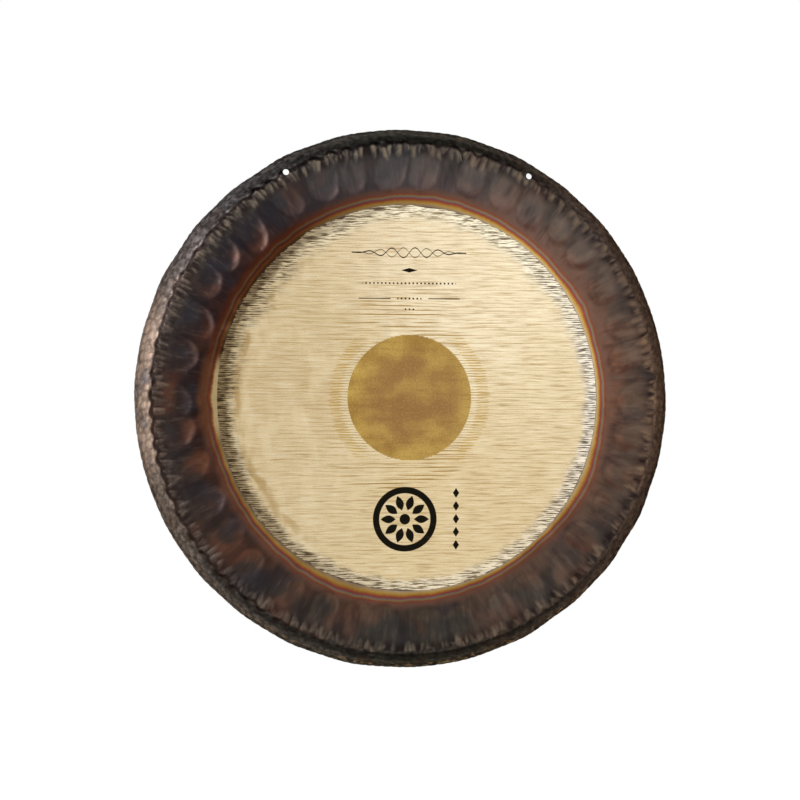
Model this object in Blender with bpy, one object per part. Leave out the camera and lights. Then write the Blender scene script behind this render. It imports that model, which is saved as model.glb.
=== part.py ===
"""A hanging tam tam gong: one hammered bronze sheet with a turned-back rim and two hanging holes.

Metres, +Z up. The gong's axis runs along Y and its struck face looks towards -Y.
The origin is the midpoint between the centres of the two hanging holes, in the plane of the crease
where the face bends into the rim, so the gong hangs straight down from the origin.
"""

import math

import bmesh
import bpy
from mathutils import Matrix

# Driving dimensions.
GONG_RADIUS = 0.355  # the widest point of the rim
CREASE_RADIUS = 0.3348  # the bend between the face and the shoulder
FACE_RISE = 0.007  # how far the middle of the face stands out past the crease
SHOULDER_DEPTH = 0.031  # from the crease back to the widest point
SHOULDER_START = math.radians(25)  # slope of the shoulder where it leaves the crease
RIM_DEPTH = 0.064  # from the crease back to the rim's flat edge
RIM_TURN_IN = 0.002  # how far the rim's edge lies inside the widest point
WALL = 0.0018  # sheet thickness
HOLE_DIAMETER = 0.008
HOLE_HALF_SPACING = 0.1615  # from the vertical through the middle to each hole

# Resolution of the curved surfaces.
SEGMENTS = 96
FACE_STEPS = 6
SHOULDER_STEPS = 7
RIM_STEPS = 2
HOLE_SIDES = 24

# The holes are bored on the crease circle, so their height over the gong's centre follows from it.
HOLE_RISE = math.sqrt(CREASE_RADIUS**2 - HOLE_HALF_SPACING**2)
CENTRE = (0.0, 0.0, -HOLE_RISE)
CUTTER_OVERHANG = 0.02  # how far a hole cutter stands out of the sheet on each side
MERGE_DISTANCE = 0.00001

BRONZE_COLOUR = (0.42, 0.31, 0.17, 1.0)
BRONZE_ROUGHNESS = 0.38


def clear_scene():
    for obj in list(bpy.data.objects):
        bpy.data.objects.remove(obj, do_unlink=True)


def bronze_material():
    material = bpy.data.materials.new("bronze")
    material.use_nodes = True
    shader = material.node_tree.nodes["Principled BSDF"]
    shader.inputs["Base Color"].default_value = BRONZE_COLOUR
    shader.inputs["Metallic"].default_value = 1.0
    shader.inputs["Roughness"].default_value = BRONZE_ROUGHNESS
    return material


def face_curve():
    """The front of the face as (radius, y), from the middle out to just before the crease."""
    points = []
    for step in range(FACE_STEPS):
        radius = CREASE_RADIUS * step / FACE_STEPS
        points.append((radius, -FACE_RISE * (1 - (radius / CREASE_RADIUS) ** 2)))
    return points


def shoulder_curve():
    """The outside of the shoulder, an elliptical arc from the crease back to the widest point."""
    radial = (GONG_RADIUS - CREASE_RADIUS) / (1 - math.sin(SHOULDER_START))
    axial = SHOULDER_DEPTH / math.cos(SHOULDER_START)
    points = []
    for step in range(SHOULDER_STEPS + 1):
        turn = SHOULDER_START + (math.pi / 2 - SHOULDER_START) * step / SHOULDER_STEPS
        radius = GONG_RADIUS - radial * (1 - math.sin(turn))
        points.append((radius, SHOULDER_DEPTH - axial * math.cos(turn)))
    return points


def rim_curve():
    """The outside of the rim, from just behind the widest point back to its flat edge."""
    points = []
    for step in range(1, RIM_STEPS + 1):
        share = step / RIM_STEPS
        y = SHOULDER_DEPTH + (RIM_DEPTH - SHOULDER_DEPTH) * share
        points.append((GONG_RADIUS - RIM_TURN_IN * share**2, y))
    return points


def inside_curve(outside):
    """The outside curve moved in by the wall, square to the sheet, with its two ends kept in line."""
    points = []
    for before, here, after in zip(outside, outside[1:], outside[2:]):
        along = (after[0] - before[0], after[1] - before[1])
        length = math.hypot(*along)
        points.append((here[0] - WALL * along[1] / length, here[1] + WALL * along[0] / length))
    middle = (0.0, outside[0][1] + WALL)
    edge = (outside[-1][0] - WALL, outside[-1][1])
    return [middle, *points, edge]


def sheet_mesh():
    """The sheet's section turned once round the gong's axis."""
    outside = face_curve() + shoulder_curve() + rim_curve()
    section = outside + inside_curve(outside)[::-1]
    bm = bmesh.new()
    verts = [bm.verts.new((radius, y, 0.0)) for radius, y in section]
    edges = [bm.edges.new(pair) for pair in zip(verts, verts[1:])]
    bmesh.ops.spin(
        bm, geom=verts + edges, cent=(0, 0, 0), axis=(0, 1, 0), angle=math.tau, steps=SEGMENTS
    )
    bmesh.ops.remove_doubles(bm, verts=bm.verts, dist=MERGE_DISTANCE)
    bmesh.ops.recalc_face_normals(bm, faces=bm.faces)
    mesh = bpy.data.meshes.new("gong")
    bm.to_mesh(mesh)
    bm.free()
    return mesh


def hole_cutter(name, x):
    """A round bar along Y, through the crease at the given distance from the middle."""
    length = RIM_DEPTH + FACE_RISE + 2 * CUTTER_OVERHANG
    bm = bmesh.new()
    bmesh.ops.create_cone(
        bm,
        cap_ends=True,
        segments=HOLE_SIDES,
        radius1=HOLE_DIAMETER / 2,
        radius2=HOLE_DIAMETER / 2,
        depth=length,
        matrix=Matrix.Rotation(math.pi / 2, 4, "X"),
    )
    mesh = bpy.data.meshes.new(name)
    bm.to_mesh(mesh)
    bm.free()
    cutter = bpy.data.objects.new(name, mesh)
    cutter.location = (x, 0.0, 0.0)
    cutter.hide_render = True
    cutter.display_type = "WIRE"
    bpy.context.scene.collection.objects.link(cutter)
    return cutter


def bore(obj, cutter):
    cut = obj.modifiers.new(cutter.name, "BOOLEAN")
    cut.operation = "DIFFERENCE"
    cut.solver = "EXACT"
    cut.object = cutter


def build_gong():
    gong = bpy.data.objects.new("gong", sheet_mesh())
    gong.location = CENTRE
    gong.data.materials.append(bronze_material())
    gong.data.shade_smooth()
    gong.data.set_sharp_from_angle(angle=math.radians(40))
    bpy.context.scene.collection.objects.link(gong)
    bore(gong, hole_cutter("left_hole_cutter", -HOLE_HALF_SPACING))
    bore(gong, hole_cutter("right_hole_cutter", HOLE_HALF_SPACING))


clear_scene()
build_gong()
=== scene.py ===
import math

import bpy
import numpy as np
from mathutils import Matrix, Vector


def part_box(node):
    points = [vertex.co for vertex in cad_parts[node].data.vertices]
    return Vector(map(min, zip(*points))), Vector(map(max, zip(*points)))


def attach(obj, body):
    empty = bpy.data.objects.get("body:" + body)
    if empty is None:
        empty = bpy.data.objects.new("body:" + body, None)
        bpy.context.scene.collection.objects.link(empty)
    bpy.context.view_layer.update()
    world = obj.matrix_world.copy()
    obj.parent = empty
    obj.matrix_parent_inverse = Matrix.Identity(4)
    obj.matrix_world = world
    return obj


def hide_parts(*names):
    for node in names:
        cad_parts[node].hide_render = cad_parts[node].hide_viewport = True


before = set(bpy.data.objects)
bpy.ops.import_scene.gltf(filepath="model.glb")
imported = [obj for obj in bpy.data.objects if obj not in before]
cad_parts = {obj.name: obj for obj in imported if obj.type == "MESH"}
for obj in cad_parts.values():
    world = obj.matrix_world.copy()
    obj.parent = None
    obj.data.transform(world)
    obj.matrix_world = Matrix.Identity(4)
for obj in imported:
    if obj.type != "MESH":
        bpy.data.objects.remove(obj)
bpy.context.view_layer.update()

MM = 0.001

# ---------------------------------------------------------------- sizes in metres
# read from the frame
LOW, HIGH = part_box("gong")
CENTRE = Vector(((LOW.x + HIGH.x) / 2, 0.0, (LOW.z + HIGH.z) / 2))
R_MAX = (HIGH.x - LOW.x) / 2
FACE_RISE = -LOW.y  # the middle of the face stands this far out past the crease
RIM_DEPTH = HIGH.y  # from the crease back to the rim's flat edge

# the rest of the section that the CAD solid is turned from, and its holes
R_CREASE = 0.3348
SHOULDER_DEPTH = 0.031
SHOULDER_START = math.radians(25)
RIM_TURN_IN = 0.002
WALL = 0.0018
HOLE_X = 0.1615
HOLE_RADIUS = 0.004

# measured in the photo, as ways along the sheet
R_GOLD = 0.2514  # edge of the bright brushed face
R_DOT = 0.0819  # edge of the matte patch in the middle

# ---------------------------------------------------------------- camera
CAMERA_DISTANCE = 3.2
CAMERA_YAW = math.radians(9.91)  # to the viewer's left of the gong's axis
CAMERA_ELEVATION = math.radians(-0.5)
CAMERA_LENS = 110.1
CAMERA_SENSOR = 36.0
AIM_LEFT = 0.0113
AIM_DOWN = 0.0024


def make_camera():
    """The photo's view: a little left of the gong's axis, with the gong a little off centre."""
    forward = Vector((
        math.sin(CAMERA_YAW) * math.cos(CAMERA_ELEVATION),
        math.cos(CAMERA_YAW) * math.cos(CAMERA_ELEVATION),
        -math.sin(CAMERA_ELEVATION),
    ))
    right = forward.cross(Vector((0, 0, 1))).normalized()
    data = bpy.data.cameras.new("camera")
    data.lens = CAMERA_LENS
    data.sensor_width = CAMERA_SENSOR
    camera = bpy.data.objects.new("camera", data)
    camera.location = CENTRE - forward * CAMERA_DISTANCE
    aim = CENTRE - right * AIM_LEFT - Vector((0, 0, AIM_DOWN))
    camera.rotation_euler = (aim - camera.location).to_track_quat("-Z", "Y").to_euler()
    bpy.context.scene.collection.objects.link(camera)
    bpy.context.scene.camera = camera


# ---------------------------------------------------------------- the gong's section and dents
FACE_SAMPLES, SHOULDER_SAMPLES, RIM_SAMPLES = 400, 120, 80


def section_table():
    """The way run along the outside of the sheet, from the middle to the rim's edge, and the point
    and the outward normal there."""
    radius = np.linspace(0, R_CREASE, FACE_SAMPLES)
    face = np.stack([radius, -FACE_RISE * (1 - (radius / R_CREASE) ** 2)], 1)
    radial = (R_MAX - R_CREASE) / (1 - math.sin(SHOULDER_START))
    axial = SHOULDER_DEPTH / math.cos(SHOULDER_START)
    turn = np.linspace(SHOULDER_START, math.pi / 2, SHOULDER_SAMPLES)[1:]
    shoulder_radius = R_MAX - radial * (1 - np.sin(turn))
    shoulder = np.stack([shoulder_radius, SHOULDER_DEPTH - axial * np.cos(turn)], 1)
    share = np.linspace(0, 1, RIM_SAMPLES)[1:]
    rim_y = SHOULDER_DEPTH + (RIM_DEPTH - SHOULDER_DEPTH) * share
    rim = np.stack([R_MAX - RIM_TURN_IN * share**2, rim_y], 1)
    points = np.concatenate([face, shoulder, rim])
    along = np.concatenate([[0], np.cumsum(np.hypot(*np.diff(points, axis=0).T))])
    tangent = np.gradient(points, along, axis=0)
    tangent /= np.hypot(*tangent.T)[:, None]
    return along, points, np.stack([tangent[:, 1], -tangent[:, 0]], 1)


ALONG, SECTION, SECTION_NORMAL = section_table()
S_CREASE = float(np.interp(R_CREASE, SECTION[:FACE_SAMPLES, 0], ALONG[:FACE_SAMPLES]))
S_END = float(ALONG[-1])


def smooth(edge0, edge1, value):
    """A smooth step from 0, where the value is at edge0 or beyond, to 1 at edge1."""
    t = np.clip((value - edge0) / (edge1 - edge0), 0, 1)
    return t * t * (3 - 2 * t)


def wave(theta, low, high, seed, count=7):
    """A smooth closed curve round the gong, about -1 to 1, from sines of low to high lobes."""
    rng = np.random.default_rng(seed)
    total = np.zeros_like(theta)
    for _ in range(count):
        total += np.sin(rng.integers(low, high + 1) * theta + rng.uniform(0, math.tau))
    return total / math.sqrt(count)


def turn_from(theta, centre):
    """The angle from centre round to theta, between -pi and pi."""
    return (theta - centre + math.pi) % math.tau - math.pi


DIRECTIONS = (
    "left", "lower_left", "bottom", "lower_right", "right", "upper_right", "top", "upper_left",
)


def by_direction(theta, values):
    """A number by direction from the middle of the gong, from one for each of DIRECTIONS."""
    count = len(DIRECTIONS)
    place = (theta + math.pi) % math.tau / math.tau * count
    return np.interp(place, np.arange(count + 1), [*values, values[0]])


TONGUES = 38
TONGUES_BEGIN = 0.25  # no dent reaches further in than this
TONGUES_MIDDLE = 0.3  # a leaning dent turns about this radius
TONGUES_RADIUS = 0.31  # the circle along which their widths are measured
TONGUES_SHALLOW = 0.330  # the floor of a dent rises to its full height out here
TONGUE_HALF_WIDTHS = (19, 26)  # mm, least and most
TONGUE_INNER_ENDS = (268, 284)  # mm from the middle of the gong
BOWL_POWER = 3.2  # the higher, the flatter the floor of a dent and the steeper its wall


def tongues(theta, s):
    """Broad hammer dents side by side, 1 at the deepest: round at the inner end and open towards
    the crease."""
    rng = np.random.default_rng(11)
    deepest = np.zeros_like(theta)
    near = (s > TONGUES_BEGIN) & (s < S_CREASE)
    theta, s = theta[near], s[near]
    depth = np.zeros_like(theta)
    for k in range(TONGUES):
        centre = math.tau * (k + rng.uniform(-0.2, 0.2)) / TONGUES
        half_width = rng.uniform(*TONGUE_HALF_WIDTHS) * MM
        end = rng.uniform(*TONGUE_INNER_ENDS) * MM + half_width
        lean = rng.uniform(-0.25, 0.25)
        strength = rng.uniform(0.55, 1.0)
        across = turn_from(theta, centre) * TONGUES_RADIUS - lean * (s - TONGUES_MIDDLE)
        away = np.hypot(across, np.maximum(end - s, 0)) / half_width
        deepening = 0.45 + 0.55 * smooth(TONGUES_SHALLOW, end - 4 * MM, s)
        bowl = strength * np.clip(1 - away**BOWL_POWER, 0, 1) * deepening
        depth = np.maximum(depth, bowl * smooth(S_CREASE - 2 * MM, S_CREASE - 16 * MM, s))
    deepest[near] = depth
    return deepest


# by direction: the share of the folds that are made, and their width against the drawn one
FOLDS_MADE = (1.0, 0.85, 0.65, 0.65, 0.65, 0.65, 0.75, 1.0)
FOLDS_WIDTH = (0.65, 0.75, 1.0, 1.0, 1.0, 1.0, 0.9, 0.6)
LEAST_HALF_WIDTH = 2.2  # mm
GENTLE_SIDE, STEEP_SIDE = 1.35, 0.65  # each side's width against the half width


def folds(theta, s, count, half_widths, lengths, seed):
    """Short raised folds side by side, from the crease in, each narrowing to a point.

    1 on the highest crest. Half widths and lengths are in mm, least and most. The folds are
    finest and closest on the left."""
    rng = np.random.default_rng(seed)
    top = np.zeros_like(theta)
    for k in range(count):
        centre = math.tau * (k + rng.uniform(-0.42, 0.42)) / count
        if rng.uniform() > by_direction(centre, FOLDS_MADE):
            continue
        finer = by_direction(centre, FOLDS_WIDTH)
        half_width = max(rng.uniform(*half_widths) * finer, LEAST_HALF_WIDTH) * MM
        length = rng.uniform(*lengths) * MM
        lean = rng.uniform(-0.3, 0.3)
        height = rng.uniform(0.45, 1.0) ** 1.5
        start = S_CREASE - rng.uniform(-3, 4) * MM
        inner_end = smooth(start - length, start - 0.25 * length, s)
        taper = inner_end * smooth(start + 3 * MM, start - 4 * MM, s)
        bow = rng.uniform(-1, 1) * 2.5 * MM * np.sin((S_CREASE - s) / length * math.pi)
        across = turn_from(theta, centre) * R_CREASE - lean * (s - S_CREASE) - bow
        gentle = across / (GENTLE_SIDE * half_width)
        ridge = np.where(across > 0, gentle, -across / (STEEP_SIDE * half_width))
        top = np.maximum(top, height * taper * np.clip(1 - ridge, 0, 1))
    return top


# how many round the gong, half widths and lengths in mm, seed
WIDE_FOLDS = (290, (4.5, 7.5), (14, 30), 23)
NARROW_FOLDS = (360, (2.6, 4.5), (9, 20), 29)
NARROW_HEIGHT = 0.75  # against the wide ones


def pleats(theta, s):
    """Wide and narrow folds together, reckoned only near the crease."""
    top = np.zeros_like(theta)
    near = (s > S_CREASE - 34 * MM) & (s < S_CREASE + 8 * MM)
    wide = folds(theta[near], s[near], *WIDE_FOLDS)
    narrow = folds(theta[near], s[near], *NARROW_FOLDS)
    top[near] = np.maximum(wide, NARROW_HEIGHT * narrow)
    return top


HAMMER_ROWS = 64  # rows of cells before their scatter repeats


def hammered(u, v, wrap, seed):
    """Bowl-shaped dents, one to a unit cell of u and v: 0 on the ridges between and 1 inside.

    u repeats after wrap cells."""
    rng = np.random.default_rng(seed)
    jitter = rng.uniform(-0.42, 0.42, (HAMMER_ROWS, wrap, 2))
    column, row = np.floor(u).astype(int), np.floor(v).astype(int)
    nearest = np.full(u.shape, 9.0)
    second = np.full(u.shape, 9.0)
    for across in (-1, 0, 1):
        for along in (-1, 0, 1):
            c, r = column + across, row + along
            move = jitter[r % HAMMER_ROWS, c % wrap]
            away = np.hypot(u - c - 0.5 - move[..., 0], v - r - 0.5 - move[..., 1])
            second = np.minimum(second, np.maximum(nearest, away))
            nearest = np.minimum(nearest, away)
    return smooth(0, 0.55, second - nearest)


def deeper_behind(theta, s, step_x, step_z):
    """How much deeper the broad dents are a step back from each point than a step on."""
    x, z = s * np.cos(theta), s * np.sin(theta)
    back = tongues(np.arctan2(z - step_z, x - step_x), np.hypot(x - step_x, z - step_z))
    on = tongues(np.arctan2(z + step_z, x + step_x), np.hypot(x + step_x, z + step_z))
    return back - on


def painted_highlight_side(theta, s):
    """1 on the steep right side of each broad dent, where the colours paint a highlight."""
    return np.clip(deeper_behind(theta, s, 3.5 * MM, 0.0) * 1.5, 0, 1)


def painted_shadow_side(theta, s):
    """1 along the lower side of each broad dent, where the colours paint a shadow."""
    return np.clip(deeper_behind(theta, s, 0.0, -5 * MM) * 1.2, 0, 1)


# by direction, in mm
TONGUE_DEPTH = (1.5, 1.6, 1.6, 1.6, 1.7, 1.7, 1.6, 2.8)
GROOVE_DEPTH = (0.9, 0.5, 0.1, 0.1, 0.05, 0.3, 0.7, 0.9)
FLANK_DENT_DEPTH = (0.9, 0.7, 0.5, 0.5, 0.5, 0.6, 0.6, 0.9)

FOLD_HEIGHT = 1 * MM
CREASE_WANDER = 1.7 * MM  # how far the crease strays from its circle
GROOVE_MIDDLE = 1 * MM  # past the crease
GROOVE_WIDTH = 2.6 * MM
OUTLINE_WANDER = 0.5 * MM  # how far the outline strays from its circle

# small hammer marks: how many round the gong, and how far apart
FLANK_DENTS, FLANK_PITCH = 190, 11 * MM
BAND_DENTS, BAND_PITCH = 120, 17 * MM
BAND_DENT_DEPTH = 0.3 * MM
FACE_PITCH = 36 * MM
FACE_CELLS = 64  # columns before the scatter of the face's marks repeats
FACE_OFFSET = 20  # cells left of and below the middle, so that all are counted from 0


def cells_round(theta, count):
    """The way round the gong in cells, of which there are count."""
    return (theta % math.tau) / math.tau * count


def face_marks(theta, s):
    """Depth of the shallow marks of the polished face, which are deeper on the left."""
    x, z = s * np.cos(theta), s * np.sin(theta)
    depth = 0.17 - 0.1 * np.clip(x / 0.2, -1, 1)
    cells = (x / FACE_PITCH + FACE_OFFSET, z / FACE_PITCH + FACE_OFFSET)
    return MM * depth * (1 - smooth(0.235, 0.262, s)) * hammered(*cells, FACE_CELLS, 8)


def relief(theta, s):
    """Height of the worked surface over the plain turned one, and the dents, the folds and the
    distance past the crease that the colours follow."""
    broad = tongues(theta, s)
    crease = s - S_CREASE - CREASE_WANDER * wave(theta, 40, 130, 5)
    narrow = pleats(theta, crease + S_CREASE)
    knock = hammered(cells_round(theta, FLANK_DENTS), s / FLANK_PITCH, FLANK_DENTS, 3)
    height = FOLD_HEIGHT * narrow - by_direction(theta, TONGUE_DEPTH) * MM * broad
    groove = by_direction(theta, GROOVE_DEPTH) * MM
    height -= groove * np.exp(-(((crease - GROOVE_MIDDLE) / GROOVE_WIDTH) ** 2))
    flank = smooth(S_CREASE + 2 * MM, S_CREASE + 8 * MM, s)
    height += MM * by_direction(theta, FLANK_DENT_DEPTH) * flank * (knock - 1.0)
    band = smooth(0.258, 0.272, s) * smooth(S_CREASE, S_CREASE - 8 * MM, s)
    marks = hammered(cells_round(theta, BAND_DENTS), s / BAND_PITCH, BAND_DENTS, 6)
    height -= BAND_DENT_DEPTH * band * marks
    height -= face_marks(theta, s)
    height += OUTLINE_WANDER * smooth(0.30, R_MAX, s) * wave(theta, 9, 34, 17)
    return height, {
        "tongue": broad, "pleat": narrow, "wall": painted_highlight_side(theta, s),
        "below": painted_shadow_side(theta, s), "knock": knock, "crease": crease,
    }


# how far out the blue line of the heat tint runs: mm past the polished face, by degrees from +X
TINT_REACH = {
    -180: 13, -161: 7.5, -135: 9.8, -110: 14, -90: 10.6, -48: 6, -25: 13, -10: 8.3,
    18: 7.5, 28: 12, 38: 8, 55: 8.6, 80: 11.6, 112: 9.8, 130: 9.5, 158: 7.5, 170: 9, 180: 13,
}
TINT_LINE = 9.4 * MM  # where that line lies in the tint's own scale
TINT_WIDTH = 40 * MM  # the tint's colours are spread over this width


def tint_scale(theta, s):
    """How far a point is into the heat tint, with its blue line at TINT_LINE in every direction."""
    degrees = np.degrees(turn_from(theta, 0.0))
    reach = np.interp(degrees, list(TINT_REACH), list(TINT_REACH.values())) * MM
    reach = reach + 0.5 * MM * wave(theta, 14, 60, 41)
    out = s - R_GOLD
    return np.where(out < reach, out * TINT_LINE / reach, TINT_LINE + out - reach)


def sheet_points(theta, s, inside):
    """Points on the outside of the sheet, or a wall's thickness inward of it where inside is 1."""
    height, columns = relief(theta, s)
    out = height - WALL * inside
    radius = np.interp(s, ALONG, SECTION[:, 0]) + np.interp(s, ALONG, SECTION_NORMAL[:, 0]) * out
    y = np.interp(s, ALONG, SECTION[:, 1]) + np.interp(s, ALONG, SECTION_NORMAL[:, 1]) * out
    return np.stack([radius * np.cos(theta), y, radius * np.sin(theta)], 1), columns


# zones of rings: way along from and to, the distance between rings, and the points round each
CREASE_END = S_CREASE + 6 * MM
FRONT_ZONES = (
    (4 * MM, 0.247, 8 * MM, 240),
    (0.247, 0.311, 2.4 * MM, 720),
    (0.311, CREASE_END, 1.9 * MM, 1440),
    (CREASE_END, S_END, 2.8 * MM, 720),
)
BACK_ZONES = (
    (S_END, CREASE_END, 5 * MM, 720),
    (CREASE_END, 0.26, 4.4 * MM, 720),
    (0.26, 6 * MM, 7 * MM, 240),
)


def rings_through(zones, inside):
    """The rings of some zones in a row, as (way along, points round, inside)."""
    rings = []
    for start, end, pitch, points in zones:
        count = max(1, round(abs(end - start) / pitch))
        rings += [(start + (end - start) * k / count, points, inside) for k in range(count)]
    return [*rings, (end, points, inside)]


def join_rings(first, second):
    """Faces between two rings of vertex numbers, whose counts differ by a whole factor at most."""
    if len(first) == len(second):
        n = len(first)
        return [(first[j], first[(j + 1) % n], second[(j + 1) % n], second[j]) for j in range(n)]
    if len(first) > len(second):
        return [face[::-1] for face in join_rings(second, first)]
    n, factor = len(first), len(second) // len(first)
    faces = []
    for j in range(n):
        outer = [second[(j * factor + k) % len(second)] for k in range(factor, -1, -1)]
        faces.append((first[j], first[(j + 1) % n], *outer))
    return faces


def plan_places(plan):
    """Angle, way along and inside of every point of the rings, then of the two middle points."""
    theta = [np.arange(count) * math.tau / count for _, count, _ in plan]
    s = [np.full(count, along) for along, count, _ in plan]
    inside = [np.full(count, float(back)) for _, count, back in plan]
    middles = [0.0, 0.0]
    return (
        np.concatenate([*theta, middles]),
        np.concatenate([*s, middles]),
        np.concatenate([*inside, [0.0, 1.0]]),
    )


def plan_faces(plan):
    """Faces between each ring and the next, then the fans round the front and back middle."""
    starts = np.cumsum([0] + [count for _, count, _ in plan])
    rings = [list(range(first, last)) for first, last in zip(starts, starts[1:])]
    faces = []
    for first, second in zip(rings, rings[1:]):
        faces += join_rings(first, second)
    front_middle = int(starts[-1])
    back_middle = front_middle + 1
    first, last = rings[0], rings[-1]
    for j in range(len(first)):
        faces.append((front_middle, first[(j + 1) % len(first)], first[j]))
    for j in range(len(last)):
        faces.append((back_middle, last[j], last[(j + 1) % len(last)]))
    return faces


def gong_mesh():
    """The closed sheet, front middle to back middle, with what the colours follow as attributes."""
    plan = rings_through(FRONT_ZONES, False) + rings_through(BACK_ZONES, True)
    theta, s, inside = plan_places(plan)
    points, columns = sheet_points(theta, s, inside)
    mesh = bpy.data.meshes.new("gong_sheet")
    mesh.from_pydata(points.tolist(), [], plan_faces(plan))
    mesh.validate()
    columns.update(section=s, inside=inside, tint=tint_scale(theta, s))
    for name, values in columns.items():
        layer = mesh.attributes.new(name, "FLOAT", "POINT")
        layer.data.foreach_set("value", values.astype(np.float32))
    mesh.shade_smooth()
    return mesh


HOLE_SIDES = 48
DRILL_LENGTH = 0.06
DRILL_MIDDLE = 0.01  # how far behind the crease
BORE_MARGIN = 0.2 * MM  # what lies this near a hole's wall belongs to it
BORE_TINT = 0.08  # past all the colours of the heat tint


def cut_holes(gong):
    """The two hanging holes, bored along the gong's axis through the crease."""
    for side in (-1, 1):
        bpy.ops.mesh.primitive_cylinder_add(
            vertices=HOLE_SIDES, radius=HOLE_RADIUS, depth=DRILL_LENGTH,
            location=(side * HOLE_X, DRILL_MIDDLE, 0.0), rotation=(math.pi / 2, 0, 0),
        )
        cutter = bpy.context.object
        cut = gong.modifiers.new("hole", "BOOLEAN")
        cut.operation = "DIFFERENCE"
        cut.solver = "EXACT"
        cut.object = cutter
        bpy.context.view_layer.update()
        evaluated = gong.evaluated_get(bpy.context.evaluated_depsgraph_get())
        cut_mesh = bpy.data.meshes.new_from_object(evaluated)
        gong.modifiers.clear()
        gong.data = cut_mesh
        bpy.data.objects.remove(cutter, do_unlink=True)
    colour_bores(gong.data)


def colour_bores(mesh):
    """Give the walls of the holes the crease's place on the sheet; the cutter brings none."""
    places = np.empty(len(mesh.vertices) * 3)
    mesh.vertices.foreach_get("co", places)
    x, _, z = (places.reshape(-1, 3) + np.array(CENTRE)).T
    bored = np.hypot(abs(x) - HOLE_X, z) < HOLE_RADIUS + BORE_MARGIN
    known = {"section": S_CREASE, "tint": BORE_TINT}
    known.update(dict.fromkeys(("pleat", "tongue", "wall", "below", "crease"), 0.0))
    for name, value in known.items():
        values = np.empty(len(bored))
        mesh.attributes[name].data.foreach_get("value", values)
        values[bored] = value
        mesh.attributes[name].data.foreach_set("value", values)


# ---------------------------------------------------------------- node helpers
class Field:
    """A number that varies over the surface: a shader node's output that can be reckoned with."""

    def __init__(self, graph, socket):
        self.graph = graph
        self.socket = socket

    def __add__(self, other):
        return self.graph.math("ADD", self, other)

    def __sub__(self, other):
        return self.graph.math("SUBTRACT", self, other)

    def __rsub__(self, other):
        return self.graph.math("SUBTRACT", other, self)

    def __mul__(self, other):
        return self.graph.math("MULTIPLY", self, other)

    def __truediv__(self, other):
        return self.graph.math("DIVIDE", self, other)

    def __abs__(self):
        return self.graph.math("ABSOLUTE", self)


class Graph:
    """Small helpers that add nodes to one material and link them."""

    def __init__(self, name):
        self.material = bpy.data.materials.new(name)
        self.material.use_nodes = True
        self.tree = self.material.node_tree
        self.shader = self.tree.nodes["Principled BSDF"]

    def add(self, kind, **settings):
        node = self.tree.nodes.new(kind)
        for key, value in settings.items():
            setattr(node, key, value)
        return node

    def put(self, socket, value):
        if isinstance(value, Field):
            self.tree.links.new(value.socket, socket)
        else:
            socket.default_value = value

    def math(self, operation, a, b=0.0):
        node = self.add("ShaderNodeMath", operation=operation)
        for socket, value in zip(node.inputs, (a, b)):
            self.put(socket, value)
        return Field(self, node.outputs[0])

    def hypot(self, a, b):
        return self.math("SQRT", a * a + b * b)

    def sine(self, a):
        return self.math("SINE", a)

    def least(self, first, *others):
        for other in others:
            first = self.math("MINIMUM", first, other)
        return first

    def most(self, first, *others):
        for other in others:
            first = self.math("MAXIMUM", first, other)
        return first

    def step(self, value, low, high, to_low=0.0, to_high=1.0):
        """A smooth step from to_low, where the value is at low or beyond, to to_high at high."""
        node = self.add("ShaderNodeMapRange", interpolation_type="SMOOTHSTEP")
        for socket, entry in zip(node.inputs, (value, low, high, to_low, to_high)):
            self.put(socket, entry)
        return Field(self, node.outputs[0])

    def link_place(self, node, x, y, z):
        """Give a texture node the place at which it is looked up."""
        place = self.add("ShaderNodeCombineXYZ")
        for socket, value in zip(place.inputs, (x, y, z)):
            self.put(socket, value)
        self.tree.links.new(place.outputs[0], node.inputs["Vector"])

    def noise(self, x, y, z, detail=2.0, roughness=0.5):
        """Smooth noise, about 0.5 on average, whose features are about one unit of x, y and z wide.

        A plain number in place of one of them picks a slice of the noise of its own."""
        node = self.add("ShaderNodeTexNoise")
        self.link_place(node, x, y, z)
        self.put(node.inputs["Scale"], 1.0)
        self.put(node.inputs["Detail"], detail)
        self.put(node.inputs["Roughness"], roughness)
        return Field(self, node.outputs["Fac"])

    def cells(self, x, y, z, size):
        """How far from the nearest of many scattered middles: a field of hammer marks."""
        node = self.add("ShaderNodeTexVoronoi", feature="F1")
        self.link_place(node, x, y, z)
        self.put(node.inputs["Scale"], 1.0 / size)
        return Field(self, node.outputs["Distance"])

    def mix(self, factor, a, b):
        """A colour from a, where the factor is 0 or less, to b, where it is 1 or more."""
        node = self.add("ShaderNodeMix", data_type="RGBA", clamp_factor=True)
        self.put(node.inputs["Factor"], factor)
        self.put(node.inputs[6], a)
        self.put(node.inputs[7], b)
        return Field(self, node.outputs[2])

    def blend(self, factor, a, b):
        """A number from a, where the factor is 0 or less, to b, where it is 1 or more."""
        node = self.add("ShaderNodeMix", data_type="FLOAT", clamp_factor=True)
        self.put(node.inputs["Factor"], factor)
        self.put(node.inputs[2], a)
        self.put(node.inputs[3], b)
        return Field(self, node.outputs[0])

    def ramp(self, value, stops):
        """A colour ramp from (position, colour) stops."""
        node = self.add("ShaderNodeValToRGB")
        self.put(node.inputs[0], value)
        band = node.color_ramp.elements
        band[0].position, band[0].color = stops[0]
        band[1].position, band[1].color = stops[-1]
        for position, colour in stops[1:-1]:
            band.new(position).color = colour
        return Field(self, node.outputs[0])

    def attribute(self, name):
        return Field(self, self.add("ShaderNodeAttribute", attribute_name=name).outputs["Fac"])


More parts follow.
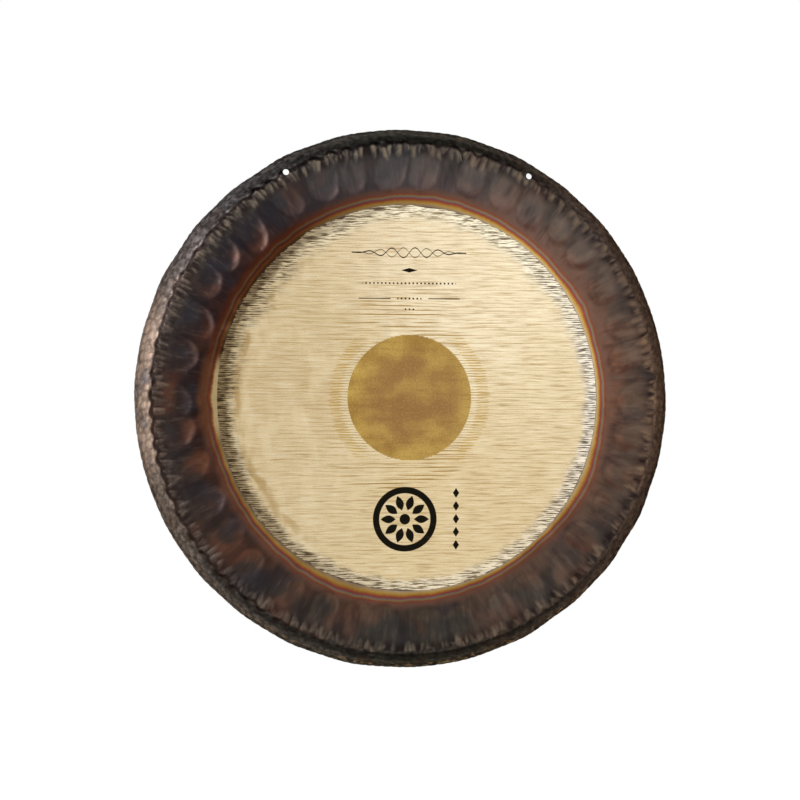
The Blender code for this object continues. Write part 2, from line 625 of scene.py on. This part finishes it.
def srgb(red, green, blue):
    """A colour given as it looks on a screen, 0 to 255, as the linear colour that shaders take."""
    linear = []
    for part in (red / 255, green / 255, blue / 255):
        linear.append(part / 12.92 if part <= 0.04045 else ((part + 0.055) / 1.055) ** 2.4)
    return (*linear, 1.0)


def grey(value):
    return (value, value, value, 1.0)


# ---------------------------------------------------------------- the gong's finish
class Place:
    """Where a point of the gong is, as fields that the parts of its finish share.

    x, y and z are in metres from the middle of the gong and s is the way along the sheet. The
    dents, the folds and crease, the distance past the crease, are as relief() gives them."""

    def __init__(self, g):
        self.g = g
        split = g.add("ShaderNodeSeparateXYZ")
        g.tree.links.new(g.add("ShaderNodeTexCoord").outputs["Object"], split.inputs[0])
        self.x, self.y, self.z = (Field(g, socket) for socket in split.outputs)
        self.s = g.attribute("section")
        self.tint = g.attribute("tint")
        self.tongue = g.attribute("tongue")
        self.pleat = g.attribute("pleat")
        self.wall = g.attribute("wall")
        self.below = g.attribute("below")
        self.knock = g.attribute("knock")
        self.crease = g.attribute("crease")
        self.inside = g.attribute("inside")
        flat_radius = g.most(g.hypot(self.x, self.z), 1 * MM)
        self.cos = self.x / flat_radius
        self.sin = self.z / flat_radius
        self.turn = g.math("ARCTAN2", self.z, self.x) / math.tau + 0.5
        self.blotch = g.noise(self.x * 13.0, self.y * 13.0, self.z * 13.0, 3.0, 0.6)
        self.cloud = g.noise(self.x * 30.0, self.y * 30.0, self.z * 30.0 + 5.0, 3.0, 0.6)
        self.spot = g.noise(self.x * 150.0, self.y * 150.0, self.z * 150.0 + 3.0, 2.0, 0.6)
        self.mottle = g.noise(self.x * 105.0, self.y * 105.0, self.z * 105.0, 3.0, 0.6)
        self.dents = g.cells(self.x, self.y, self.z, 17 * MM)
        self.radial = g.noise(self.cos * 60.0, self.sin * 60.0, self.s * 50.0, 2.0, 0.5)

    def around(self, colours):
        """A colour by direction from the middle of the gong, from one for each of DIRECTIONS."""
        stops = [(k / len(colours), colour) for k, colour in enumerate(colours)]
        stops.append((1.0, colours[0]))
        return self.g.ramp(self.turn + (self.cloud - 0.5) * 0.08, stops)

    def level(self, values):
        """A number by direction from the middle of the gong, each from 0 to 1."""
        return self.around([grey(value) for value in values])


def tones(*rows):
    """One colour for each of DIRECTIONS."""
    return [srgb(*row) for row in rows]


LONG_LINE_PITCH = 5.4 * MM
BORDER_LINE_PITCH = 2.8 * MM
TOOTH_PITCH = 3.5 * MM  # of the gold lines beside the patch
PATCH_ROW = 1.5 * MM  # height of the steps in the edge of the patch
EDGE_ROW = 2.7 * MM  # height of the steps in the edge of the polished face


def brush_lines(g, p):
    """The level lines that polishing leaves: fine ones all over, a few long ones at an even pitch,
    and the short strokes of the border, drawn out where it runs level above and below."""
    drift = g.noise(p.x * 8.0, 0.0, p.z * 22.0, 1.0)
    wavy = p.z + (drift - 0.5) * 5 * MM
    fine = g.noise(p.x * 27.0, 3.0, wavy * 540.0, 3.0, 0.62)
    even = g.sine(wavy * (math.tau / LONG_LINE_PITCH))
    strength = g.noise(p.x * 12.0, 9.0, wavy * 190.0, 1.0)
    long = g.step(even, 0.40, 0.95) * g.step(strength, 0.43, 0.58)
    bend = g.noise(p.x * 30.0, 5.0, p.z * 40.0, 1.0)
    bent = p.z + (bend - 0.5) * 2.0 * MM
    short = g.noise(p.x * 54.0, 7.0, bent * 540.0, 2.0, 0.6)
    drawn_out = g.noise(p.x * 42.0, 8.0, bent * 620.0, 2.0, 0.6)
    high_or_low = g.step(abs(p.sin), 0.70, 0.92)
    regular = g.sine(bent * (math.tau / BORDER_LINE_PITCH))
    short = g.blend(high_or_low, short + regular * 0.07, (drawn_out - 0.5) * 1.8 + 0.52)
    return fine, long, short


def gold_colour(g, p, lines):
    """The brushed gold of the face, with lines near the patch and a cloudier left side, where
    darker smudges lie between painted soft glows and a painted shine ring.
    """
    fine, long, _ = lines
    ground = p.around(tones(
        (218, 194, 151), (226, 204, 162), (225, 203, 158), (223, 200, 157),
        (225, 206, 167), (235, 218, 183), (234, 216, 181), (219, 197, 155),
    ))
    gold = g.mix(g.step(fine, 0.30, 0.52, 0.75, 0.0), ground, srgb(176, 146, 98))
    gold = g.mix(g.step(fine, 0.52, 0.72, 0.0, 0.5), gold, srgb(250, 240, 214))
    near_patch = g.step(p.s, 0.165, 0.110) * g.step(abs(p.cos), 0.85, 0.5)
    gold = g.mix(long * g.blend(near_patch, 0.36, 1.0), gold, srgb(160, 123, 60))
    left = g.step(p.cos, -0.35, -0.9)
    glow = g.noise(p.x * 34.0, 2.0, p.z * 15.0, 2.0)
    # painted highlight: soft pale glows on the left of the face
    gold = g.mix(left * g.step(glow, 0.48, 0.66, 0.0, 0.30), gold, srgb(246, 230, 190))
    smudge_ring = g.step(abs(p.s - 0.226 + (p.cloud - 0.5) * 26 * MM), 8 * MM, 2 * MM)
    gold = g.mix(left * smudge_ring * g.step(glow, 0.58, 0.42, 0.0, 0.65), gold, srgb(170, 136, 78))
    # painted highlight: a bright shine ring on the left of the face
    shine_ring = g.step(abs(p.s - 0.236 + (p.cloud - 0.5) * 16 * MM), 5 * MM, 1 * MM)
    return g.mix(left * shine_ring * g.step(glow, 0.40, 0.58, 0.0, 0.6), gold, srgb(250, 240, 210))


def add_combs(g, p, lines, gold):
    """Golden combs of short lines on both sides of the patch, past a paler gap."""
    fine, _, short = lines
    beside = g.step(abs(p.cos), 0.45, 0.75)
    out = p.s + (short - 0.5) * 14 * MM - R_DOT
    uneven = p.z + (p.cloud - 0.5) * 5 * MM
    teeth = g.step(g.sine(uneven * (math.tau / TOOTH_PITCH)), -0.2, 0.7)
    gap = beside * g.step(out, 13 * MM, 8 * MM)
    gold = g.mix(gap * (1.0 - teeth) * 0.4, gold, srgb(246, 232, 196))
    gold = g.mix(gap * teeth * g.step(short, 0.60, 0.44, 0.0, 0.6), gold, srgb(160, 128, 76))
    comb = beside * g.step(abs(out - 16 * MM), 9 * MM, 6 * MM)
    comb = comb * g.step(fine, 0.62, 0.48, 0.3, 0.85)
    return g.mix(comb * teeth, gold, srgb(186, 148, 66))


def add_border(g, p, short, gold):
    """The gold with its border, where the lines grow strong, dark against nearly white, the
    near-white streaks partly painted reflection; and 1 on the border."""
    inward = R_GOLD - p.s
    width = p.level((0.027, 0.020, 0.016, 0.020, 0.018, 0.028, 0.018, 0.036))
    reach = inward / width + (p.cloud - 0.5) * 1.1
    border = g.step(reach, 1.15, 0.45)
    dark = p.around(tones(
        (66, 50, 30), (80, 63, 41), (132, 114, 88), (102, 86, 62),
        (108, 98, 90), (118, 104, 84), (132, 114, 86), (78, 61, 41),
    ))
    # partly painted reflection: the near-white streaks of the border, palest at the top and right
    pale = p.around(tones(
        (192, 170, 128), (216, 196, 158), (238, 224, 194), (238, 222, 192),
        (246, 236, 218), (252, 242, 214), (250, 238, 206), (214, 194, 156),
    ))
    streaked = g.mix(g.step(short, 0.38, 0.60), dark, pale)
    gold = g.mix(border, gold, streaked)
    burnt = g.step(inward + (p.cloud - 0.5) * 22 * MM, 15 * MM, 8 * MM)
    burnt = burnt * p.level((0.8, 0.5, 0.0, 0.0, 0.0, 0.0, 0.0, 0.75))
    scorched = g.mix(g.step(short, 0.42, 0.66), srgb(52, 38, 24), srgb(122, 100, 68))
    return g.mix(burnt, gold, scorched), border


def patch_colour(g, p):
    """The matte patch: olive gold round the edge, browner in the middle, smudged sideways."""
    smear = g.noise(p.x * 24.0, 1.0, p.z * 34.0, 2.0, 0.45)
    middle = g.step(p.s + (smear - 0.5) * 40 * MM, 0.084, 0.040)
    edge = g.mix(g.step(smear, 0.36, 0.64), srgb(161, 126, 61), srgb(190, 157, 83))
    edge = g.mix(g.step(p.x, 30 * MM, 66 * MM, 0.0, 0.6), edge, srgb(193, 160, 90))
    colour = g.mix(middle * g.step(smear, 0.66, 0.40, 0.45, 0.85), edge, srgb(150, 110, 68))
    streak = g.noise(p.x * 14.0, 6.0, p.z * 150.0, 2.0)
    colour = g.mix(g.step(streak, 0.50, 0.34, 0.0, 0.28), colour, srgb(132, 98, 54))
    grain = g.noise(p.x * 340.0, 4.0, p.z * 440.0, 3.0, 0.6)
    colour = g.mix(g.step(grain, 0.56, 0.36, 0.0, 0.26), colour, srgb(134, 102, 56))
    return g.mix(g.step(grain, 0.48, 0.68, 0.0, 0.19), colour, srgb(204, 172, 110))


def heat_colour(g, p):
    """The colours that heating leaves outside the polished face, from straw through crimson to
    blue, and brown beyond."""
    tint = (p.tint + (p.radial - 0.5) * 1.6 * MM) / TINT_WIDTH
    light = g.ramp(tint, [
        (0.00, srgb(120, 106, 98)), (0.025, srgb(200, 176, 142)), (0.05, srgb(200, 170, 118)),
        (0.08, srgb(198, 162, 94)), (0.11, srgb(190, 148, 72)), (0.14, srgb(174, 124, 60)),
        (0.165, srgb(162, 102, 54)), (0.19, srgb(152, 78, 56)), (0.215, srgb(144, 72, 70)),
        (0.24, srgb(132, 94, 96)), (0.265, srgb(122, 112, 102)), (0.29, srgb(134, 120, 80)),
        (0.315, srgb(140, 98, 66)), (0.34, srgb(136, 78, 62)), (0.37, srgb(126, 76, 66)),
        (0.41, srgb(116, 84, 68)), (0.60, srgb(114, 86, 74)), (1.00, srgb(108, 86, 76)),
    ])
    deep = g.ramp(tint, [
        (0.00, srgb(38, 23, 18)), (0.04, srgb(46, 24, 15)), (0.09, srgb(66, 38, 17)),
        (0.15, srgb(78, 44, 19)), (0.20, srgb(64, 24, 16)), (0.24, srgb(58, 36, 36)),
        (0.28, srgb(72, 56, 30)), (0.34, srgb(70, 32, 20)), (0.40, srgb(62, 31, 20)),
        (0.60, srgb(54, 28, 20)), (1.00, srgb(44, 28, 24)),
    ])
    lit = p.level((0.32, 0.52, 0.66, 0.58, 0.94, 1.0, 0.58, 0.04)) * 1.25 - 0.2
    heat = g.mix(lit + (p.cloud - 0.5) * 0.45, deep, light)
    scorch = g.step(tint, 0.12, 0.03) * p.level((0.0, 0.7, 0.0, 0.1, 0.0, 0.0, 0.5, 0.1))
    heat = g.mix(scorch, heat, srgb(92, 70, 52))
    straw = g.step(p.cos, -0.972, -0.996)
    heat = g.mix(straw * g.step(tint, 0.16, 0.09, 0.0, 0.9), heat, srgb(164, 142, 104))
    return g.mix(straw * g.step(tint, 0.19, 0.24, 0.0, 0.8), heat, srgb(84, 52, 34))


def band_colour(g, p):
    """Patina of the dented band: by direction, darker out towards the folds, streaked outwards,
    with a painted shadow along the lower side of each broad dent and a painted highlight on its
    steep right side.
    """
    inner = p.around(tones(
        (46, 25, 17), (88, 58, 43), (76, 63, 52), (101, 80, 67),
        (130, 90, 70), (136, 104, 90), (84, 77, 78), (52, 33, 30),
    ))
    outer = p.around(tones(
        (48, 37, 34), (60, 49, 44), (58, 55, 50), (74, 64, 57),
        (96, 76, 64), (98, 85, 76), (75, 71, 70), (42, 38, 41),
    ))
    band = g.mix(g.step(p.s + (p.blotch - 0.5) * 30 * MM, 0.276, 0.300), inner, outer)
    patches = g.noise(p.cos * 7.0, p.sin * 7.0, p.s * 20.0, 1.0, 0.4)
    warm = g.step(patches, 0.50, 0.68, 0.0, 0.6)
    warm = warm * p.level((0.8, 1.0, 0.4, 0.6, 0.7, 0.5, 0.2, 0.5))
    band = g.mix(warm, band, srgb(106, 66, 48))
    cold = g.step(patches, 0.49, 0.34, 0.0, 0.6)
    cold = cold * p.level((0.9, 1.0, 0.8, 0.6, 0.7, 0.6, 0.7, 0.9))
    band = g.mix(cold, band, srgb(50, 51, 56))
    shade = g.noise(p.cos * 26.0, p.sin * 26.0, p.s * 22.0, 2.0, 0.5)
    pale = g.step(shade + (patches - 0.5) * 0.5, 0.50, 0.68)
    pale = pale * p.level((0.0, 0.0, 0.2, 0.3, 0.4, 0.3, 0.1, 0.0))
    band = g.mix(pale, band, srgb(124, 104, 90))
    band = g.mix(g.step(p.radial, 0.50, 0.74, 0.0, 0.12), band, srgb(124, 108, 96))
    band = g.mix(g.step(shade, 0.48, 0.32, 0.0, 0.35), band, srgb(38, 32, 33))
    between = g.step(p.tongue, 0.50, 0.0) * p.level((0.5, 0.5, 0.3, 0.25, 0.25, 0.3, 0.4, 0.6))
    band = g.mix(between, band, srgb(30, 24, 26))
    # painted shadow: a brown crescent along the lower side of each broad dent, strongest on the
    # right
    brown = g.step(p.below, 0.05, 0.8) * g.step(p.s, 0.324, 0.306)
    brown = brown * g.step(p.cloud, 0.34, 0.54, 0.3, 1.0)
    brown = brown * p.level((0.0, 0.0, 0.25, 0.7, 0.95, 0.85, 0.25, 0.0))
    band = g.mix(brown, band, srgb(76, 49, 40))
    # painted highlight: a pale pinkish sheen on the steep right side of each broad dent, strongest
    # at the upper left
    painted_highlight = g.step(p.wall, 0.2, 1.0) * g.step(p.s, 0.322, 0.292)
    painted_highlight = painted_highlight * g.step(p.cloud, 0.36, 0.56, 0.35, 1.0)
    painted_highlight = painted_highlight * p.level((0.08, 0.05, 0.0, 0.05, 0.1, 0.1, 0.06, 0.42))
    return g.mix(painted_highlight, band, srgb(152, 126, 119))


def fold_colour(g, p, under):
    """Tan crests of the folds inside the crease, partly wear and partly painted highlight;
    near-black between, partly patina and partly painted shade; painted shade in dark spots beside
    the folds and along the crease itself.
    """
    crest = p.around(tones(
        (114, 98, 86), (98, 88, 80), (122, 108, 92), (120, 100, 82),
        (150, 120, 90), (122, 101, 82), (124, 112, 94), (124, 112, 98),
    ))
    near = g.step(p.crease, -24 * MM, -8 * MM) * g.step(p.crease, 2 * MM, -2 * MM)
    lift = near * p.level((0.35, 0.2, 0.1, 0.0, 0.0, 0.0, 0.0, 0.3))
    under = g.mix(lift * g.step(p.mottle, 0.35, 0.65, 0.5, 1.0), under, crest)
    # partly patina, partly painted shade: near-black in the hollows between the folds
    dip = near * g.step(p.pleat, 0.35, 0.0) * p.level((0.6, 0.6, 0.75, 0.55, 0.45, 0.55, 0.85, 0.7))
    colour = g.mix(dip, under, srgb(28, 22, 22))
    # partly wear, partly painted highlight: tan on the crests of the folds
    worn = g.step(p.pleat + (p.mottle - 0.5) * 0.9, 0.12, 0.85)
    worn = worn * g.step(p.cloud, 0.38, 0.56, 0.5, 1.0)
    colour = g.mix(worn * p.level((0.75, 0.75, 0.85, 0.75, 0.75, 0.75, 0.9, 0.8)), colour, crest)
    ragged = p.crease + (p.mottle - 0.5) * 6 * MM
    crease = g.step(abs(ragged - 0.5 * MM), 5.0 * MM, 1.6 * MM)
    depth = p.level((0.9, 0.6, 0.3, 0.25, 0.15, 0.4, 0.7, 0.9))
    # painted shade: dark spots beside the folds, near the crease
    painted_fold_shade = g.step(abs(ragged + 6 * MM), 10 * MM, 3 * MM) * g.step(p.pleat + p.radial, 0.60, 0.38)
    painted_fold_shade = painted_fold_shade * p.level((0.3, 0.5, 0.7, 0.7, 0.8, 0.6, 0.4, 0.3))
    colour = g.mix(painted_fold_shade, colour, srgb(34, 25, 23))
    # painted shade: a dark, ragged line along the crease, strongest on the left
    painted_crease_shade = p.around(tones(
        (30, 22, 18), (40, 28, 22), (58, 40, 30), (66, 48, 36),
        (80, 60, 48), (52, 40, 34), (34, 28, 26), (28, 22, 20),
    ))
    return g.mix(crease * depth * g.step(p.spot, 0.25, 0.6, 0.4, 1.0), colour, painted_crease_shade)


def flank_colour(g, p):
    """Patina round the shoulder and rim: mottled, pale on the left as a painted reflection of the
    left light, nearly black at the top, with painted glints, partly worn edges, further out.
    """
    dark = p.around(tones(
        (92, 78, 67), (66, 60, 54), (42, 41, 36), (60, 50, 43),
        (92, 71, 60), (64, 53, 47), (76, 75, 69), (68, 65, 66),
    ))
    light = p.around(tones(
        (146, 128, 115), (100, 91, 84), (68, 65, 56), (90, 76, 66),
        (132, 104, 84), (100, 84, 74), (99, 96, 87), (124, 118, 118),
    ))
    flank = g.mix(g.step(p.spot, 0.26, 0.72), dark, light)
    left = g.step(p.crease, 1 * MM, 8 * MM) * g.step(p.cos - p.sin * 0.05, -0.925, -0.985)
    # painted reflection: the far left of the flank made pale where it faces the left light
    flank = g.mix(left * g.step(p.cloud, 0.42, 0.56, 0.2, 0.55), flank, srgb(202, 174, 154))
    flank = g.mix(left * g.step(p.cloud, 0.46, 0.34, 0.0, 0.6), flank, srgb(126, 122, 126))
    flank = g.mix(left * g.step(p.mottle, 0.50, 0.32, 0.0, 0.5), flank, srgb(104, 84, 72))
    gaps = g.step(p.knock + (p.mottle - 0.5) * 0.8, 0.85, 0.0)
    gaps = gaps * p.level((0.45, 0.4, 0.3, 0.3, 0.3, 0.3, 0.4, 0.4))
    flank = g.mix(gaps, flank, srgb(44, 35, 32))
    # painted glints, partly worn edges: small golden specks on the outer flank, most at the bottom
    # and right
    glints_and_wear = g.step(p.crease, 12 * MM, 22 * MM)
    glints_and_wear = glints_and_wear * g.step(p.mottle + (p.spot - 0.5) * 0.5, 0.54, 0.64)
    glints_and_wear = glints_and_wear * g.step(p.crease, 46 * MM, 32 * MM, 0.35, 1.0)
    glints_and_wear = glints_and_wear * p.level((0.0, 0.2, 0.5, 0.6, 0.6, 0.5, 0.2, 0.0))
    flank = g.mix(glints_and_wear, flank, srgb(150, 122, 86))
    return g.mix(g.step(p.cloud, 0.55, 0.70, 0.0, 0.35) * (1.0 - left), flank, srgb(72, 52, 40))


def back_colour(g, p):
    """Patina of the back, which no polishing has touched: dark bronze, worn paler on the ridges."""
    back = g.mix(g.step(p.blotch, 0.30, 0.70), srgb(82, 64, 52), srgb(102, 79, 60))
    back = g.mix(g.step(p.dents, 0.35, 0.75, 0.0, 0.3), back, srgb(144, 116, 84))
    back = g.mix(g.step(p.mottle, 0.50, 0.30, 0.0, 0.25), back, srgb(48, 43, 44))
    rings = g.noise(p.s * 260.0, 1.0, p.blotch * 3.0, 2.0, 0.6)
    back = g.mix(g.step(rings, 0.50, 0.30, 0.0, 0.25), back, srgb(52, 44, 40))
    return g.mix(g.step(p.s, 0.262, 0.250, 0.0, 0.35), back, srgb(132, 98, 64))


# ---------------------------------------------------------------- printed ornament
# Each shape is a field that is below 0 inside it, about in metres near its edge.
def lozenge(x, z, half_width, half_height):
    """An upright diamond about the middle."""
    return (abs(x) / half_width + abs(z) / half_height - 1.0) * min(half_width, half_height)


PETALS = 10


def rosette(g, x, z):
    """A ring round petals and a boss."""
    away = g.hypot(x, z)
    fold = g.math("PINGPONG", g.math("ARCTAN2", z, x) + math.tau, math.pi / PETALS)
    ring = abs(away - 38 * MM) - 4.2 * MM
    petal_width = g.sine((away - 12 * MM) * (math.pi / (20 * MM))) * 5.2 * MM
    petal = g.most(away * fold - petal_width, abs(away - 22 * MM) - 10 * MM)
    return g.least(ring, petal, away - 7 * MM)


def flourish(g, x, z):
    """Two waves plaited along a line and dying away at both ends."""
    swing = g.step(abs(x), 78 * MM, 10 * MM) * 6.5 * MM
    phase = x * (math.tau / (31 * MM))
    first = abs(z - swing * g.sine(phase)) - 0.75 * MM
    second = abs(z + swing * g.sine(phase)) - 0.45 * MM
    return g.most(g.least(first, second), abs(x) - 76 * MM)


BEAD_PITCH = 5.2 * MM


def beads(g, x, z, half_length, radius):
    """A level row of dots."""
    along = g.math("PINGPONG", abs(x), BEAD_PITCH / 2)
    return g.most(g.hypot(along, z) - radius, abs(x) - half_length)


PRINT_BLUR = 0.3 * MM  # half the width over which the ink fades in

# heights above the middle of the gong, and how far left and right the lower pieces stand
BADGE_Z, BADGE_LEFT, DIAMONDS_RIGHT = -158 * MM, 6 * MM, 62 * MM
FLOURISH_Z, LOZENGE_Z, LONG_BEADS_Z, RULES_Z, SHORT_BEADS_Z = (
    190 * MM, 167 * MM, 150 * MM, 130 * MM, 116 * MM,
)


def diamonds(g, x, z):
    """An upright row of five diamonds."""
    repeated = g.math("PINGPONG", z, 8.5 * MM)
    return g.most(lozenge(x, repeated, 4.2 * MM, 6.6 * MM), abs(z) - 42 * MM)


def ornament(g, p):
    """1 where the face is printed: a rosette and a row of diamonds below, rows of pattern above."""
    low_z = p.z - BADGE_Z
    rules_z = p.z - RULES_Z
    shapes = (
        rosette(g, p.x + BADGE_LEFT, low_z),
        diamonds(g, p.x - DIAMONDS_RIGHT, low_z),
        flourish(g, p.x, p.z - FLOURISH_Z),
        lozenge(p.x, p.z - LOZENGE_Z, 11 * MM, 3 * MM),
        beads(g, p.x, p.z - LONG_BEADS_Z, 62 * MM, 1.2 * MM),
        g.most(abs(rules_z) - 0.6 * MM, abs(abs(p.x) - 46 * MM) - 21 * MM),
        beads(g, p.x, rules_z, 16 * MM, 1.2 * MM),
        beads(g, p.x, p.z - SHORT_BEADS_Z, 9 * MM, 1.1 * MM),
    )
    return g.step(g.least(*shapes), PRINT_BLUR, -PRINT_BLUR)


def patch_area(g, p):
    """1 on the matte patch, whose edge steps from line to line of the brushing."""
    row = g.math("SNAP", p.z, PATCH_ROW)
    away = g.hypot(p.x, row) + (g.noise(row * 900.0, 0.0, 0.0) - 0.5) * 1.1 * MM
    return g.step(away, R_DOT + 0.4 * MM, R_DOT - 0.4 * MM)


def polished_area(g, p, short):
    """1 on the polished face, whose edge is ragged where the polishing strokes ran out over it."""
    row = g.math("SNAP", p.z, EDGE_ROW)
    strokes = g.noise(row * 700.0, 5.0, p.cos * 3.0) - 0.5
    strokes = strokes * p.level((0.1, 0.6, 0.45, 0.2, 0.1, 0.2, 1.0, 0.5)) * 18 * MM
    edge = p.s + strokes + (short - 0.5) * 1.2 * MM
    return g.step(edge, R_GOLD + 0.3 * MM, R_GOLD - 0.3 * MM)


def outer_colour(g, p):
    """Everything outside the polished face: heat tint, dented band, folds, shoulder and rim."""
    outer = g.mix(g.step(p.tint, 15 * MM, 27 * MM), heat_colour(g, p), band_colour(g, p))
    outer = fold_colour(g, p, outer)
    start = p.level((0.93, 0.79, 0.1, 0.3, 0.2, 0.5, 0.79, 0.93)) * 10 * MM - 7 * MM
    past_crease = p.crease + (p.mottle - 0.5) * 4 * MM - start
    return g.mix(g.step(past_crease, 0.0, 4.5 * MM), outer, flank_colour(g, p))


def add_bump(g, height):
    """Bend the shading by a height in metres."""
    bump = g.add("ShaderNodeBump")
    g.put(bump.inputs["Strength"], 1.0)
    g.put(bump.inputs["Distance"], 1.0)
    g.put(bump.inputs["Height"], height)
    g.put(g.shader.inputs["Normal"], Field(g, bump.outputs[0]))


PATCH_ROUGHNESS = 0.46
INK_ROUGHNESS = 0.5


def gong_material():
    g = Graph("bronze")
    p = Place(g)
    lines = brush_lines(g, p)
    fine, long, short = lines
    gold = add_combs(g, p, lines, gold_colour(g, p, lines))
    gold, border = add_border(g, p, short, gold)
    in_patch = patch_area(g, p)
    ink = ornament(g, p) * g.step(fine, 0.24, 0.38, 0.85, 1.0)
    face = g.mix(in_patch, gold, patch_colour(g, p))
    face = g.mix(ink, face, srgb(26, 23, 17))
    polished = polished_area(g, p, short)
    colour = g.mix(polished, outer_colour(g, p), face)
    g.put(g.shader.inputs["Base Color"], g.mix(p.inside, colour, back_colour(g, p)))

    on_face = polished * (1.0 - p.inside)
    patina_rough = g.step(p.mottle, 0.3, 0.7, 0.34, 0.44)
    rough = g.blend(on_face, patina_rough, g.step(fine, 0.3, 0.7, 0.32, 0.24))
    rough = g.blend(p.inside, rough, g.step(p.mottle, 0.3, 0.7, 0.22, 0.32))
    rough = g.blend(in_patch * on_face, rough, PATCH_ROUGHNESS)
    g.put(g.shader.inputs["Roughness"], g.blend(ink * on_face, rough, INK_ROUGHNESS))
    g.put(g.shader.inputs["Metallic"], 1.0)
    g.put(g.shader.inputs["Specular Tint"], grey(0.35))

    brushed = fine * 0.06 * MM + border * short * 0.30 * MM + long * -0.05 * MM
    worked = p.radial * 0.12 * MM + p.mottle * 0.25 * MM
    height = g.blend(on_face, worked, brushed * (1.0 - in_patch))
    add_bump(g, height + p.inside * p.dents * 1.6 * MM)
    return g.material


def make_gong():
    """The one visible piece, which stands for the CAD node."""
    gong = bpy.data.objects.new("gong_sheet", gong_mesh())
    gong.location = CENTRE
    bpy.context.scene.collection.objects.link(gong)
    bpy.context.view_layer.update()
    cut_holes(gong)
    gong.data.materials.clear()
    gong.data.materials.append(gong_material())
    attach(gong, "root")
    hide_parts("gong")


# ---------------------------------------------------------------- stage and light
FLOOR_SIDES = 96
FLOOR_RADIUS = 40.0
FLOOR_GAP = 0.9  # below the hanging gong

# name; azimuth and elevation in degrees and distance from the gong; width and height; radiance
SOFTBOXES = (
    ("left_softbox", -47, 2, 2.6, 1.8, 2.2, 1.4),
    ("key_light", -42, 24, 2.4, 1.0, 0.8, 12.0),
)
CARDS = (
    ("front_card", -6, 0, 4.2, 1.9, 2.6, 0.78),
    ("bright_card", 24, 16, 4.0, 2.0, 2.4, 1.3),
    ("top_card", 0, 70, 1.8, 3.4, 2.0, 0.05),
    ("bottom_card", 0, -72, 1.2, 3.0, 1.6, 0.16),
    ("right_card", 80, 0, 2.0, 3.2, 2.6, 0.45),
    ("back_card", 128, -4, 2.4, 1.1, 2.6, 0.25),
    ("back_high_card", 170, 45, 2.4, 2.6, 1.2, 0.3),
)


def make_floor():
    bpy.ops.mesh.primitive_circle_add(
        vertices=FLOOR_SIDES, radius=FLOOR_RADIUS, fill_type="NGON",
        location=(0, 0, LOW.z - FLOOR_GAP),
    )
    floor = bpy.context.object
    floor.name = "floor"
    g = Graph("floor_white")
    g.put(g.shader.inputs["Base Color"], grey(1.0))
    g.put(g.shader.inputs["Roughness"], 0.9)
    g.put(g.shader.inputs["Specular IOR Level"], 0.0)
    floor.data.materials.append(g.material)


def toward_gong(place):
    return (CENTRE - Vector(place)).to_track_quat("-Z", "Y").to_euler()


def make_card(name, place, width, height, brightness):
    """A panel that only reflections see, as a photographer holds one beside bright metal."""
    bpy.ops.mesh.primitive_plane_add(size=1.0, location=place, rotation=toward_gong(place))
    card = bpy.context.object
    card.name = name
    card.scale = (width, height, 1.0)
    g = Graph(name)
    g.put(g.shader.inputs["Base Color"], grey(0.0))
    g.put(g.shader.inputs["Specular IOR Level"], 0.0)
    g.put(g.shader.inputs["Emission Color"], grey(1.0))
    g.put(g.shader.inputs["Emission Strength"], brightness)
    card.data.materials.append(g.material)
    card.visible_camera = False
    card.visible_diffuse = False
    card.visible_shadow = False
    card.visible_transmission = False


def from_gong(azimuth, elevation, distance):
    """A place seen from the gong, at an azimuth in degrees from straight ahead to the right."""
    a, e = math.radians(azimuth), math.radians(elevation)
    away = Vector((math.sin(a) * math.cos(e), -math.cos(a) * math.cos(e), math.sin(e)))
    return CENTRE + away * distance


def make_softbox(name, place, width, height, radiance):
    """An area light as bright, seen from anywhere, as a panel of this radiance."""
    data = bpy.data.lights.new(name, "AREA")
    data.shape = "RECTANGLE"
    data.size = width
    data.size_y = height
    data.energy = radiance * math.pi * width * height
    light = bpy.data.objects.new(name, data)
    light.location = place
    light.rotation_euler = toward_gong(place)
    light.visible_camera = False
    bpy.context.scene.collection.objects.link(light)


def light_gong():
    """Two lights on the left, and panels all round for the metal to mirror."""
    for name, azimuth, elevation, distance, *panel in SOFTBOXES:
        make_softbox(name, from_gong(azimuth, elevation, distance), *panel)
    for name, azimuth, elevation, distance, *panel in CARDS:
        make_card(name, from_gong(azimuth, elevation, distance), *panel)


def make_world():
    world = bpy.data.worlds.new("studio")
    world.use_nodes = True
    background = world.node_tree.nodes["Background"]
    background.inputs["Color"].default_value = grey(1.0)
    background.inputs["Strength"].default_value = 1.0
    bpy.context.scene.world = world
    bpy.context.scene.view_settings.view_transform = "Standard"


make_camera()
make_gong()
make_floor()
make_world()
light_gong()
